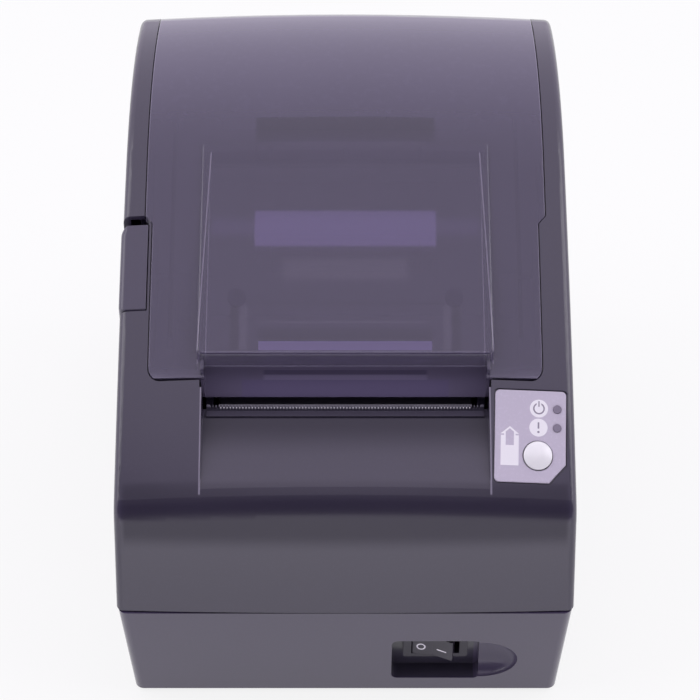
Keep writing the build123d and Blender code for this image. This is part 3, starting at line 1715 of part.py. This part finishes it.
pieces = [
    base_tray,
    rubber_feet,
    base_screws,
    upper_housing,
    cover,
    cover_guide,
    cover_screws,
    platen_roller,
    platen_shaft,
    platen_gear,
    platen_bushings,
    mechanism_frame,
    frame_screws,
    drive_motor,
    motor_pinion,
    idler_gear,
    print_head,
    heat_sink,
    head_pivot,
    head_springs,
    tear_bar,
    paper_trough,
    open_lever,
    lever_pin,
    lever_spring,
    hinge_pins,
    control_plate,
    feed_button,
    lamp_lenses,
    button_board,
    main_board,
    board_supports,
    memory_module,
    power_jack,
    usb_port,
    serial_port,
    drawer_port,
    port_plate,
    power_switch,
    power_rocker,
    cover_sensor,
    paper_sensor,
]

os.makedirs("parts", exist_ok=True)
for piece in pieces:
    export_step(piece.part, "parts/" + piece.part.label + ".step")
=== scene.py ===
import bpy
from math import radians
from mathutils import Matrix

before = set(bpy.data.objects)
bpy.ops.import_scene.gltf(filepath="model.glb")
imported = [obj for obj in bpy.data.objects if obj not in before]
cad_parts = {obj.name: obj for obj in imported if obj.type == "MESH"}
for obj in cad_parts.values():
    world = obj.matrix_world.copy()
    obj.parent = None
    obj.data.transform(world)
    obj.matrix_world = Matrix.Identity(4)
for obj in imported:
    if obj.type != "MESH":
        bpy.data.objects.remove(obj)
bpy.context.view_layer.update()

# Lengths in metres, in the frame of the model: X right, Y back, Z up.
# Places on a material are in millimetres along the same axes.
mm = 0.001


class Value:
    """A number in a node tree that Python's operators work on."""

    def __init__(self, tree, socket):
        self.tree = tree
        self.socket = socket

    def combine(self, operation, *others):
        """The result of a Math node on this number and others."""
        node = self.tree.nodes.new("ShaderNodeMath")
        node.operation = operation
        for place, item in enumerate((self, *others)):
            if isinstance(item, Value):
                self.tree.links.new(item.socket, node.inputs[place])
            else:
                node.inputs[place].default_value = item
        return Value(self.tree, node.outputs[0])

    def swapped(self, operation, other):
        """The result of a Math node where a plain number comes first."""
        node = self.tree.nodes.new("ShaderNodeMath")
        node.operation = operation
        node.inputs[0].default_value = other
        self.tree.links.new(self.socket, node.inputs[1])
        return Value(self.tree, node.outputs[0])

    def __add__(self, other):
        return self.combine("ADD", other)

    def __radd__(self, other):
        return self.combine("ADD", other)

    def __sub__(self, other):
        return self.combine("SUBTRACT", other)

    def __rsub__(self, other):
        return self.swapped("SUBTRACT", other)

    def __mul__(self, other):
        return self.combine("MULTIPLY", other)

    def __rmul__(self, other):
        return self.combine("MULTIPLY", other)

    def __truediv__(self, other):
        return self.combine("DIVIDE", other)

    def __rtruediv__(self, other):
        return self.swapped("DIVIDE", other)

    def size(self):
        return self.combine("ABSOLUTE")

    def most(self, other):
        return self.combine("MAXIMUM", other)

    def root(self):
        return self.combine("SQRT")


class Graph:
    """A node tree under construction."""

    def __init__(self, tree):
        self.tree = tree

    def node(self, kind, settings=None, inputs=None):
        """Adds a node, sets its options and fills its inputs with values or links."""
        node = self.tree.nodes.new(kind)
        for name, setting in (settings or {}).items():
            setattr(node, name, setting)
        for name, item in (inputs or {}).items():
            if isinstance(item, Value):
                item = item.socket
            if isinstance(item, bpy.types.NodeSocket):
                self.tree.links.new(item, node.inputs[name])
            else:
                node.inputs[name].default_value = item
        return node

    def axes(self, socket):
        """The three parts of a vector."""
        split = self.node("ShaderNodeSeparateXYZ", inputs={"Vector": socket})
        return [Value(self.tree, split.outputs[axis]) for axis in "XYZ"]

    def step(self, value, low, high):
        """Value brought smoothly from 0 at the low end to 1 at the high end."""
        node = self.node(
            "ShaderNodeMapRange",
            {"interpolation_type": "SMOOTHSTEP"},
            {"Value": value, "From Min": low, "From Max": high},
        )
        return Value(self.tree, node.outputs[0])

    def within(self, value, limit, soft=0.05):
        """1 below a limit and 0 above it, with a soft edge."""
        return 1 - self.step(value, limit - soft, limit + soft)

    def band(self, value, ends, soft=0.05):
        """1 between two ends and 0 outside them, with soft edges."""
        return self.step(value, ends[0] - soft, ends[0] + soft) * self.within(value, ends[1], soft)

    def disc(self, across, up, middle, radius):
        """1 inside a circle on a flat face and 0 outside it."""
        aside = across - middle[0]
        above = up - middle[1]
        return self.within((aside * aside + above * above).root(), radius)

    def ray(self, kind):
        """1 for rays of one kind, such as the camera's own."""
        return Value(self.tree, self.node("ShaderNodeLightPath").outputs[f"Is {kind} Ray"])

    def mix(self, amount, low, high):
        """Colour between two colours, through the colour sockets of a Mix node."""
        sockets = {0: amount, 6: opaque(low), 7: opaque(high)}
        return self.node("ShaderNodeMix", {"data_type": "RGBA"}, sockets).outputs[2]

    def blend(self, amount, first, second, output):
        """Sends a mix of two shaders to the output node."""
        sockets = {0: amount, 1: first.outputs[0], 2: second.outputs[0]}
        blended = self.node("ShaderNodeMixShader", inputs=sockets).outputs[0]
        self.tree.links.new(blended, self.tree.nodes[output].inputs[0])


def opaque(colour):
    """A colour with its full alpha, or a link as it is."""
    return colour if isinstance(colour, bpy.types.NodeSocket) else (*colour, 1.0)


def shade(colour, factor):
    """A colour made lighter or darker."""
    return tuple(min(part * factor, 1.0) for part in colour)


class Finish(Graph):
    """A material under construction, with the place on the object in millimetres."""

    coat_roughness = 0.16

    def __init__(self, name, roughness, metallic=0.0, coat=0.0):
        self.material = bpy.data.materials.new(name)
        self.material.use_nodes = True
        super().__init__(self.material.node_tree)
        self.shader = self.tree.nodes["Principled BSDF"]
        self.shader.inputs["Roughness"].default_value = roughness
        self.shader.inputs["Metallic"].default_value = metallic
        self.shader.inputs["Coat Weight"].default_value = coat
        self.shader.inputs["Coat Roughness"].default_value = self.coat_roughness
        self.place = self.node("ShaderNodeTexCoord").outputs["Object"]
        self.x, self.y, self.z = [part / mm for part in self.axes(self.place)]
        self.colour = None

    def distance(self, origin, axis):
        """How far the place lies from an origin along an axis, in millimetres."""
        ways = zip((self.x, self.y, self.z), origin, axis)
        return sum((place - start) * share for place, start, share in ways)

    def noise(self, scale, detail=2.0, stretch=(1, 1, 1)):
        """Noise from 0 to 1 over the object, with the scale per metre."""
        mapping = self.node("ShaderNodeMapping", inputs={"Vector": self.place, "Scale": stretch})
        texture = self.node(
            "ShaderNodeTexNoise", inputs={"Vector": mapping.outputs[0], "Scale": scale, "Detail": detail}
        )
        return Value(self.tree, texture.outputs["Fac"])

    def drive(self, name, item):
        """Feeds one of the shader's inputs."""
        self.tree.links.new(item.socket if isinstance(item, Value) else item, self.shader.inputs[name])

    def paint(self, colour):
        """Sets the base colour, which later marks can be laid over."""
        self.colour = colour
        self.drive("Base Color", colour)

    def mark(self, amount, colour):
        """Lays a colour over the base colour by an amount."""
        self.paint(self.mix(amount, self.colour, colour))

    def relief(self, height, depth, rounding=0.3):
        """Bump from a height between 0 and 1 over a depth, on softened edges, both in millimetres."""
        edges = self.node("ShaderNodeBevel", {"samples": 4}, {"Radius": rounding * mm})
        bump = self.node(
            "ShaderNodeBump", inputs={"Height": height, "Distance": depth * mm, "Normal": edges.outputs[0]}
        )
        self.drive("Normal", bump.outputs[0])


def moulded(name, colour, roughness=0.45, grain=2600.0, depth=0.01, coat=0.0):
    """Moulded plastic with a fine eroded texture and faint flow marks."""
    finish = Finish(name, roughness, coat=coat)
    fine = finish.noise(grain, 3.0)
    flow = finish.noise(28.0)
    specks = finish.step(finish.noise(grain * 0.45, 1.0), 0.5, 0.75)
    tone = finish.mix(flow, shade(colour, 0.95), shade(colour, 1.05))
    finish.paint(finish.mix(specks * 0.4, tone, shade(colour, 1.15)))
    finish.drive("Roughness", roughness - 0.05 + fine * 0.05 + flow * 0.05)
    finish.relief(fine, depth)
    return finish


def metal(name, colour, roughness=0.3):
    """Metal with marks drawn out along its width."""
    finish = Finish(name, roughness, metallic=1.0)
    marks = finish.noise(900.0, 3.0, stretch=(1, 12, 12))
    broad = finish.noise(60.0)
    finish.paint(finish.mix(marks * 0.6 + broad * 0.4, shade(colour, 0.86), shade(colour, 1.1)))
    finish.drive("Roughness", roughness - 0.08 + marks * 0.12 + broad * 0.06)
    finish.relief(marks, depth=0.006, rounding=0.15)
    return finish


def elastic(name, colour, roughness):
    """Rubber with a fine matt skin."""
    finish = Finish(name, roughness)
    fine = finish.noise(3500.0, 3.0)
    finish.paint(finish.mix(finish.noise(80.0), shade(colour, 0.85), shade(colour, 1.3)))
    finish.drive("Roughness", roughness - 0.08 + fine * 0.14)
    finish.relief(fine, depth=0.02)
    return finish


# Colours that several finishes share
charcoal = (0.039, 0.032, 0.061)
pale = (0.98, 0.96, 1.0)
black = (0.02, 0.02, 0.022)


def housing_plastic():
    """Glossy upper housing with a satin ramp whose top has painted shade, a bend made darker with painted
    shade, and pale painted highlights on the rims beside the ramp.
    """
    finish = moulded("housing_plastic", charcoal, 0.34)
    from_middle = finish.x.size()

    ramp_half_width = 45.2
    ramp_length = (-79.0, -53.8)
    satin_and_shade_growth = (-69.0, -57.0)
    # Painted shade: the top of the ramp, under the hood, is darkened in colour as well as made satin
    ramp = finish.within(from_middle, ramp_half_width, 0.1) * finish.band(finish.y, ramp_length, 0.5)
    satin_and_painted_shade = ramp * finish.step(finish.y, *satin_and_shade_growth)

    bend_half_width = 69.5
    bend_length = (-91.0, -76.0)
    bend_height = (65.0, 80.0)
    # Painted shade: the bend is dulled and darkened in colour to stand for a dark reflection on it
    dull_bend_painted_shade = finish.band(finish.z, bend_height, 3.0) * finish.band(finish.y, bend_length, 1.0)
    dull_bend_painted_shade = dull_bend_painted_shade * finish.within(from_middle, bend_half_width, 1.0)

    gloss = 0.75
    finish.drive("Coat Weight", gloss * (1 - satin_and_painted_shade) * (1 - dull_bend_painted_shade * 0.8))
    finish.mark((satin_and_painted_shade * 0.5).most(dull_bend_painted_shade * 0.4), shade(charcoal, 0.3))

    # The shoulders beside the ramp rise towards the back, and the rims are their inner edges, which carry
    # a painted highlight
    shoulder_place = (0.0, -52.5, 96.4)
    shoulder_rise = 0.6865
    rim_width = (45.15, 45.75)
    rim_length = (-79.5, -50.0)
    over_shoulder = finish.distance(shoulder_place, (0, -shoulder_rise, 1))
    rim_painted_highlight = finish.band(from_middle, rim_width) * finish.band(finish.y, rim_length, 0.3)
    finish.mark(rim_painted_highlight * finish.step(over_shoulder, -0.8, -0.4) * 0.6, (0.34, 0.31, 0.40))
    return finish


def base_plastic():
    """Lower housing, greyer inside its switch window as painted shade, and paler in its finger scoop."""
    gloss = 0.8
    finish = moulded("base_plastic", (0.049, 0.035, 0.082), 0.36, coat=gloss)

    # The front face leans forwards as it rises, and the window and scoop lie behind it
    front_foot = (0.0, -94.7, 2.0)
    front_lean = 0.0617
    depth_in = finish.distance(front_foot, (0, 1, front_lean))

    window_width = (14.0, 43.7)
    window_height = (7.0, 28.5)
    window_depth = (-99.0, -86.0)
    window_painted_shade = finish.band(finish.x, window_width) * finish.band(finish.z, window_height)
    window_painted_shade = window_painted_shade * finish.band(finish.y, window_depth, 0.1) * finish.step(depth_in, 0.3, 0.7)
    # Painted shade: a greyer colour inside the window recess
    finish.mark(window_painted_shade, (0.05, 0.045, 0.07))

    scoop_width = (42.0, 58.0)
    scoop = finish.step(depth_in, 0.05, 0.5) * finish.band(finish.x, scoop_width, 0.1)
    finish.mark(scoop * 0.9, (0.085, 0.07, 0.125))
    finish.drive("Coat Weight", gloss * (1 - scoop * 0.5))
    return finish


def cover_plastic():
    """Smoky see-through cover, with painted light and shade standing for the parts under it, and painted
    highlights on its edges.
    """
    smoke = (0.078, 0.064, 0.122)
    violet = (0.17, 0.13, 0.29)
    bright = (0.30, 0.27, 0.37)
    dim = shade(smoke, 0.4)
    finish = moulded("cover_plastic", smoke, 0.16, grain=900.0, depth=0.002, coat=1.0)
    from_middle = finish.x.size()
    along = finish.y
    height = finish.z
    top = finish.step(height, 98.0, 100.0)
    wall = 1 - top

    def patch(half_width, ends, soft):
        """A block across the middle of the cover, between two ends along it."""
        return finish.within(from_middle, half_width, soft) * finish.band(along, ends, soft)

    # Painted reflections, light and shade across the middle, standing for the parts under the cover and
    # named for what they imitate
    panel_reflection = patch(29.2, (-12.1, -1.0), 0.5)
    front_strip_reflection = patch(27.4, (-44.1, -41.3), 0.12) * top
    rear_slot_shade = patch(29.3, (21.6, 30.2), 0.25) * (0.5 + finish.step(along, 20.0, 27.0) * 0.5)
    panel_glow_reflection = patch(43.0, (-8.5, -3.5), 1.5)
    middle_strip = patch(20.0, (-22.5, -16.2), 0.8)
    frame_line = patch(31.0, (-30.1, -29.7), 0.1)
    shaft_highlight = patch(27.0, (-35.7, -35.4), 0.1)
    roller_shadow = patch(27.5, (-41.0, -37.5), 0.5)

    # Posts of the two screws, with painted light on one side and painted shade on the other
    post = finish.band(along, (-44.0, -30.5), 0.3) * top
    lit_side = post * finish.band(from_middle, (31.0, 33.4), 0.3)
    shaded_side = post * finish.band(from_middle, (33.8, 36.4), 0.2)

    # Painted highlights on the edges of the hood, which narrows towards the back, and on the cover's
    # border
    hood_rear = 17.7
    hood_taper = 0.048
    hood_length = finish.band(along, (-45.0, hood_rear), 0.5) * top
    outer_ridge_highlight = finish.band(from_middle - (hood_rear - along) * hood_taper, (43.6, 44.0), 0.12)
    inner_ridge_highlight = finish.band(from_middle, (43.8, 44.05), 0.1) * (1 - finish.step(along, -10.0, 10.0))
    ridge_highlights = (outer_ridge_highlight * 0.8 + inner_ridge_highlight * 0.5) * hood_length
    hood_edge_highlight = patch(46.4, (-44.7, -44.4), 0.06) * top
    front_border_highlight = finish.band(from_middle, (61.95, 62.3), 0.08) * finish.band(along, (-45.0, -4.0), 0.5)
    rear_border_highlight = finish.band(from_middle, (64.35, 64.7), 0.08) * finish.band(along, (-1.5, 90.0), 0.5)

    # Front wall under the hood, with painted light seen through it, a painted highlight on its lip and two
    # lines of painted shade and painted light
    wall_ends = (-50.0, -40.0)
    opening = wall * patch(33.0, wall_ends, 0.3) * finish.band(height, (80.0, 93.9), 0.3)
    lip_highlight = patch(46.4, (-45.6, -44.9), 0.05) * finish.band(height, (100.6, 101.2), 0.1)
    wall_middle = wall * patch(26.0, wall_ends, 0.8)
    wall_shadow = wall_middle * finish.band(height, (95.3, 96.4), 0.1)
    wall_light = wall_middle * finish.band(height, (93.9, 95.1), 0.1)

    # Marks of painted light and shade with their strengths, the later ones over the earlier ones
    marks = (
        (panel_reflection, 0.8, violet),
        (front_strip_reflection, 0.9, violet),
        (rear_slot_shade, 0.6, shade(smoke, 0.45)),
        (panel_glow_reflection, 0.2, violet),
        (middle_strip, 0.5, (0.13, 0.11, 0.18)),
        (frame_line, 0.4, dim),
        (shaft_highlight, 0.25, bright),
        (roller_shadow, 0.3, dim),
        (lit_side, 0.1, bright),
        (shaded_side, 0.3, dim),
        (ridge_highlights, 1.0, bright),
        (hood_edge_highlight, 0.4, bright),
        (front_border_highlight + rear_border_highlight, 0.4, bright),
        (wall, 0.7, (0.17, 0.145, 0.23)),
        (opening, 0.8, (0.14, 0.115, 0.22)),
        (lip_highlight, 0.6, bright),
        (wall_shadow, 0.7, smoke),
        (wall_light, 0.8, (0.20, 0.17, 0.28)),
    )
    for mask, strength, colour in marks:
        finish.mark(mask * strength, colour)

    # See-through on top, denser in its front wall and solid at the rear
    solid_growth = (5.0, 57.0)
    finish.drive("Alpha", 0.7 + wall * 0.22 + finish.step(along, *solid_growth) * 0.3)
    return finish


def panel_film():
    """Control plate with its printed signs, measured across the plate and up it."""
    finish = moulded("panel_film", (0.60, 0.55, 0.66), 0.4, depth=0.004)
    plate_middle = (58.0, -64.1, 88.445)
    across = finish.distance(plate_middle, (0.998432, 0.0, -0.055979))
    up = finish.distance(plate_middle, (0.031558, 0.825949, 0.562860))
    grey = (0.30, 0.27, 0.34)

    # Sheet of paper with a hollow arrow over it
    arrow_middle = -6.48
    arrow_slope = 1.2
    from_arrow = (across - arrow_middle).size()

    def arrow_head(tip):
        """The part of the plate under two slanting edges that meet at a tip."""
        return finish.step(tip - up - from_arrow / arrow_slope, -0.05, 0.05)

    sheet = finish.within(from_arrow, 2.83) * finish.band(up, (-9.4, 0.16))
    head = arrow_head(3.05) * finish.band(up, (0.6, 4.0))
    neck = finish.within(from_arrow, 1.8) * finish.band(up, (-3.0, 1.2))
    hollow = finish.within(from_arrow, 1.28) * finish.band(up, (-3.0, 3.0)) * arrow_head(2.35)
    finish.mark(sheet.most(head).most(neck) * (1 - hollow), pale)

    # Two white discs, with a broken ring and its bar, and with a plain mark and its dot
    disc_radius = 2.87
    ring_middle = (2.6, 9.0)
    mark_middle = (2.5, 2.9)
    dot_middle = (2.5, 1.5)
    finish.mark(finish.disc(across, up, ring_middle, disc_radius), pale)
    finish.mark(finish.disc(across, up, mark_middle, disc_radius), pale)
    ring = finish.disc(across, up, ring_middle, 1.85) * (1 - finish.disc(across, up, ring_middle, 1.4))
    ring_gap = finish.band(across, (1.85, 3.35)) * finish.band(up, (9.2, 12.0))
    ring_bar = finish.band(across, (2.41, 2.79), 0.04) * finish.band(up, (9.6, 11.4), 0.04)
    mark_bar = finish.band(across, (2.24, 2.76), 0.04) * finish.band(up, (2.6, 4.6), 0.04)
    dot = finish.disc(across, up, dot_middle, 0.36)
    for sign in (ring * (1 - ring_gap), ring_bar, mark_bar, dot):
        finish.mark(sign, grey)
    return finish


def rocker_plastic():
    """Rocker with its ring and bar on the front side."""
    finish = moulded("rocker_plastic", (0.042, 0.037, 0.055), 0.35)
    front_side = finish.band(finish.y, (-99.0, -88.0), 0.1)
    ring_middle = (24.6, 20.3)
    outside = finish.disc(finish.x, finish.z, ring_middle, 1.5)
    inside = finish.disc(finish.x, finish.z, ring_middle, 1.02)
    bar = finish.band(finish.x, (29.7, 32.7)) * finish.band(finish.z, (19.8, 20.3))
    finish.mark((outside * (1 - inside) + bar) * front_side, pale)
    return finish


def tear_steel():
    """Dark steel of the tear bar, bright at its teeth."""
    finish = metal("tear_steel", (0.10, 0.092, 0.125), 0.35)
    tooth_height = (89.3, 89.6)
    finish.mark(finish.step(finish.z, *tooth_height), (0.38, 0.36, 0.44))
    return finish


def dress(finish, *nodes):
    """Gives a material to CAD nodes."""
    for name in nodes:
        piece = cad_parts[name]
        piece.data.materials.clear()
        piece.data.materials.append(finish.material)
        for face in piece.data.polygons:
            face.material_index = 0


# Outside
dress(housing_plastic(), "upper_housing")
dress(base_plastic(), "base_tray")
dress(cover_plastic(), "cover")
dress(panel_film(), "control_plate")
dress(rocker_plastic(), "power_rocker")
dress(tear_steel(), "tear_bar")
dress(moulded("lever_plastic", shade(charcoal, 1.3), 0.34, coat=0.7), "open_lever")
dress(moulded("switch_plastic", (0.036, 0.032, 0.048), 0.4), "power_switch")
dress(moulded("button_plastic", (0.98, 0.97, 0.98), 0.25, coat=0.6), "feed_button")
dress(moulded("lamp_lens", (0.24, 0.21, 0.28), 0.25), "lamp_lenses")

# Inside, behind and below
dress(moulded("support_plastic", charcoal, 0.5), "board_supports")
dress(moulded("dark_plastic", (0.10, 0.085, 0.14), 0.4), "cover_guide")
dress(moulded("trough_plastic", (0.07, 0.06, 0.105), 0.45), "paper_trough")
dress(metal("zinc_sheet", (0.62, 0.62, 0.65)), "mechanism_frame", "port_plate")
dress(metal("screw_steel", (0.5, 0.5, 0.52), 0.35), "base_screws", "cover_screws", "frame_screws")
ground_steel = metal("ground_steel", (0.66, 0.66, 0.69), 0.22)
dress(ground_steel, "platen_shaft", "head_pivot", "lever_pin", "hinge_pins")
dress(metal("spring_strip", (0.45, 0.43, 0.42), 0.35), "head_springs", "lever_spring")
dress(metal("milled_alloy", (0.7, 0.7, 0.72), 0.35), "heat_sink")
dress(metal("plated_shell", (0.58, 0.58, 0.6), 0.3), "usb_port", "serial_port")
dress(elastic("roller_rubber", (0.075, 0.07, 0.09), 0.6), "platen_roller")
dress(elastic("foot_rubber", (0.025, 0.025, 0.03), 0.75), "rubber_feet")
dress(moulded("acetal", (0.80, 0.79, 0.73), 0.4), "platen_gear", "idler_gear", "motor_pinion")
dress(moulded("bearing_plastic", black, 0.4), "platen_bushings")
dress(moulded("motor_case", (0.16, 0.16, 0.17), 0.4), "drive_motor")
dress(moulded("glazed_ceramic", (0.12, 0.11, 0.14), 0.2), "print_head")
dress(moulded("socket_plastic", black, 0.45), "power_jack", "drawer_port", "memory_module")
dress(moulded("sensor_plastic", (0.025, 0.025, 0.028), 0.4), "cover_sensor", "paper_sensor")
dress(moulded("solder_mask", (0.02, 0.14, 0.06), 0.3), "main_board", "button_board")

# Floor of pale paper, which the camera, gloss and glass see nearly white
bpy.ops.mesh.primitive_plane_add(size=6.0, location=(0, 0, 0))
floor = bpy.context.active_object
floor.name = "floor"
ground = Finish("floor_paper", 0.8)
ground.paint(ground.mix(ground.noise(30.0), (0.92, 0.92, 0.93), (0.95, 0.95, 0.95)))
glow = ground.node("ShaderNodeEmission", inputs={"Color": (1, 1, 1, 1), "Strength": 1.0})
glow_share = 0.84
seen = ground.ray("Camera").most(ground.ray("Glossy")).most(ground.ray("Transmission"))
ground.blend(seen * glow_share, ground.shader, glow, "Material Output")
floor.data.materials.append(ground.material)

# World: a white tent with a dark opening in front, and a white background for the camera
world = bpy.data.worlds.new("studio")
bpy.context.scene.world = world
world.use_nodes = True
sky = Graph(world.node_tree)
ahead, above = sky.axes(sky.node("ShaderNodeTexCoord").outputs["Generated"])[1:]
toward = ahead / (1.0 - above * above).most(0.0001).root()
opening_height = (0.18, 0.86)
opening = sky.band(above, opening_height) * (1 - sky.step(toward, -0.5, -0.15))
tent_colour = sky.mix(opening, (1.03, 0.96, 1.12), (0.05, 0.045, 0.07))
tent = sky.node("ShaderNodeBackground", inputs={"Color": tent_colour, "Strength": 1.0})
white = sky.node("ShaderNodeBackground", inputs={"Color": (1.0, 1.0, 1.0, 1.0), "Strength": 1.0})
sky.blend(sky.ray("Camera"), tent, white, "World Output")


def lamp(name, place, turn, size, power):
    """Soft rectangular lamp, with its place and size in metres and its turn in degrees."""
    bpy.ops.object.light_add(type="AREA", location=place, rotation=[radians(angle) for angle in turn])
    light = bpy.context.active_object
    light.name = name
    light.data.shape = "RECTANGLE"
    light.data.size, light.data.size_y = size
    light.data.energy = power


lamp("left_lamp", place=(-1.0, -0.1, 0.95), turn=(0, -48, 0), size=(0.8, 0.8), power=3.0)
lamp("right_lamp", place=(1.0, -0.1, 0.95), turn=(0, 48, 0), size=(0.8, 0.8), power=3.0)
lamp("front_lamp", place=(0.0, -1.3, 0.13), turn=(90, 0, 0), size=(1.6, 0.24), power=0.9)

# Camera of the photograph, looking down at the printer from the front
camera_place = (1.5 * mm, -519.3 * mm, 535.6 * mm)
camera_pitch = 42.06
bpy.ops.object.camera_add(location=camera_place, rotation=(radians(90 - camera_pitch), 0, 0))
camera = bpy.context.active_object
camera.data.lens = 104.7
camera.data.sensor_width = 36.0
bpy.context.scene.camera = camera

bpy.context.scene.view_settings.view_transform = "Standard"
